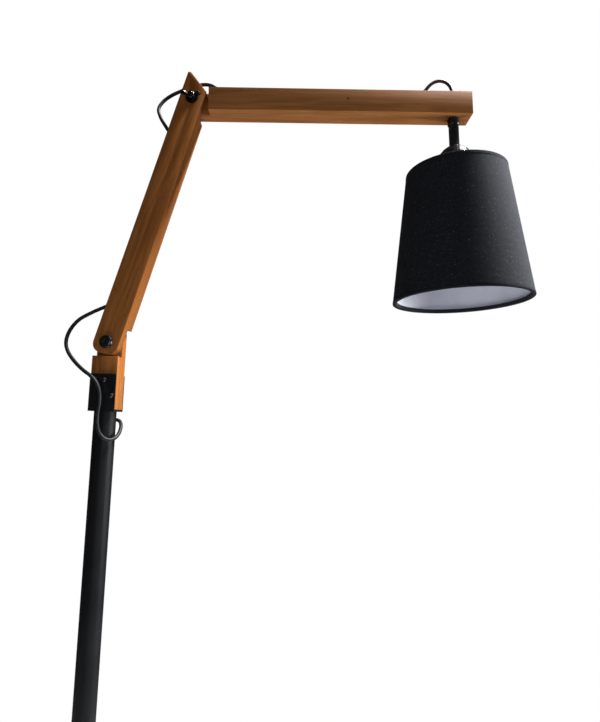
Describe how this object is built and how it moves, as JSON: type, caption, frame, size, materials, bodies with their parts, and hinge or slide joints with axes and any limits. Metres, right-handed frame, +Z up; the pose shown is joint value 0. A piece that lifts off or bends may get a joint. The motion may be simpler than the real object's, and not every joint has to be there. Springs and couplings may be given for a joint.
{
  "type": "adjustable arm floor lamp",
  "caption": "Floor lamp with a weighted round base, steel pole, two timber arms on wing-nut pivots and a hanging tapered fabric shade.",
  "frame": {"origin": "middle of the base's underside, on the floor", "axes": "+Z up the pole, +X towards the shade in the plane the arms swing in, +Y towards the side the mains lead leaves"},
  "size_m": [0.8326, 0.5013, 1.6056],
  "materials": {
    "dark_timber": "dark stained, satin",
    "timber": "stained, satin",
    "black_steel": "satin black powder coat",
    "dark_metal": "black oxide",
    "screw_steel": "black oxide",
    "zinc_steel": "zinc plated",
    "cast_iron": "rough",
    "brass": "plain",
    "rubber": "matte",
    "gloss_black": "gloss",
    "matte_black": "matte",
    "cord_sheath": "smooth sheath",
    "shade_fabric": "woven, over a stiff lining",
    "shade_trim": "folded hem tape",
    "white_wire": "white enamel",
    "opal_glass": "opal"
  },
  "bodies": {
    "stand": {"base_pad": "rubber", "base_weight": "cast_iron", "base_cover": "black_steel", "base_washer": "zinc_steel", "base_nut": "zinc_steel", "pole_foot_plug": "zinc_steel", "pole": "black_steel", "pole_foot_collar": "black_steel", "pole_cord_boot": "rubber", "mains_strain_relief": "rubber", "pole_bracket": "black_steel", "bracket_screw_front_1": "screw_steel", "bracket_screw_front_2": "screw_steel", "bracket_screw_rear_1": "screw_steel", "bracket_screw_rear_2": "screw_steel", "knuckle_block": "dark_timber", "lower_pivot_nut_washer": "dark_metal", "lower_pivot_bolt": "dark_metal", "cord_in_pole": "cord_sheath", "cord_loop_lower": "cord_sheath", "mains_lead_to_switch": "cord_sheath", "mains_lead_to_coil": "cord_sheath", "mains_coil": "cord_sheath", "mains_tail": "cord_sheath", "coil_tie": "rubber", "switch_lower_shell": "matte_black", "switch_upper_shell": "matte_black", "plug_body": "matte_black", "plug_pin_left": "brass", "plug_pin_right": "brass"},
    "lower_arm_body": {"lower_arm": "dark_timber", "upper_pivot_nut_washer": "dark_metal", "upper_pivot_bolt": "dark_metal", "cord_in_lower_arm": "cord_sheath", "cord_loop_upper": "cord_sheath"},
    "upper_arm_body": {"upper_arm": "timber", "cord_in_upper_arm": "cord_sheath", "cord_arc": "cord_sheath", "hanger_pipe": "zinc_steel", "hanger_washer": "zinc_steel", "hanger_top_nut": "zinc_steel", "hanger_collar": "black_steel", "hanger_sleeve": "black_steel", "lampholder_cap": "gloss_black", "lampholder_lock_nut": "zinc_steel", "lampholder_body": "gloss_black", "lampholder_contact": "brass", "shade_ring_nut": "gloss_black", "shade_carrier": "white_wire", "shade_shell": "shade_fabric", "shade_top_trim": "shade_trim", "shade_bottom_trim": "shade_trim", "shade_bottom_wire": "white_wire", "bulb_cap": "zinc_steel", "bulb_glass": "opal_glass"},
    "lower_wing_body": {"lower_wing_nut": "dark_metal"},
    "upper_wing_body": {"upper_wing_nut": "dark_metal"},
    "switch_rocker_body": {"switch_rocker": "matte_black"}
  },
  "joints": [
    {"name": "lower_arm_tilt", "type": "hinge", "parent": "stand", "child": "lower_arm_body", "pos_m": [0, 0, 1.12], "axis": [0, 1, 0], "range_deg": [-30, 45], "deforming": ["cord_loop_lower"]},
    {"name": "upper_arm_tilt", "type": "hinge", "parent": "lower_arm_body", "child": "upper_arm_body", "pos_m": [0.11306, 0, 1.53902], "axis": [0, 1, 0], "range_deg": [-38, 22], "deforming": ["cord_loop_upper"]},
    {"name": "lower_wing_nut_turn", "type": "hinge", "parent": "stand", "child": "lower_wing_body", "pos_m": [0, 0, 1.12], "axis": [0, 1, 0], "continuous": true},
    {"name": "upper_wing_nut_turn", "type": "hinge", "parent": "lower_arm_body", "child": "upper_wing_body", "pos_m": [0.11306, 0, 1.53902], "axis": [0, 1, 0], "continuous": true},
    {"name": "switch_rocker_tilt", "type": "hinge", "parent": "stand", "child": "switch_rocker_body", "pos_m": [0, 0.226, 0.015], "axis": [1, 0, 0], "range_deg": [-12, 0]}
  ]
}
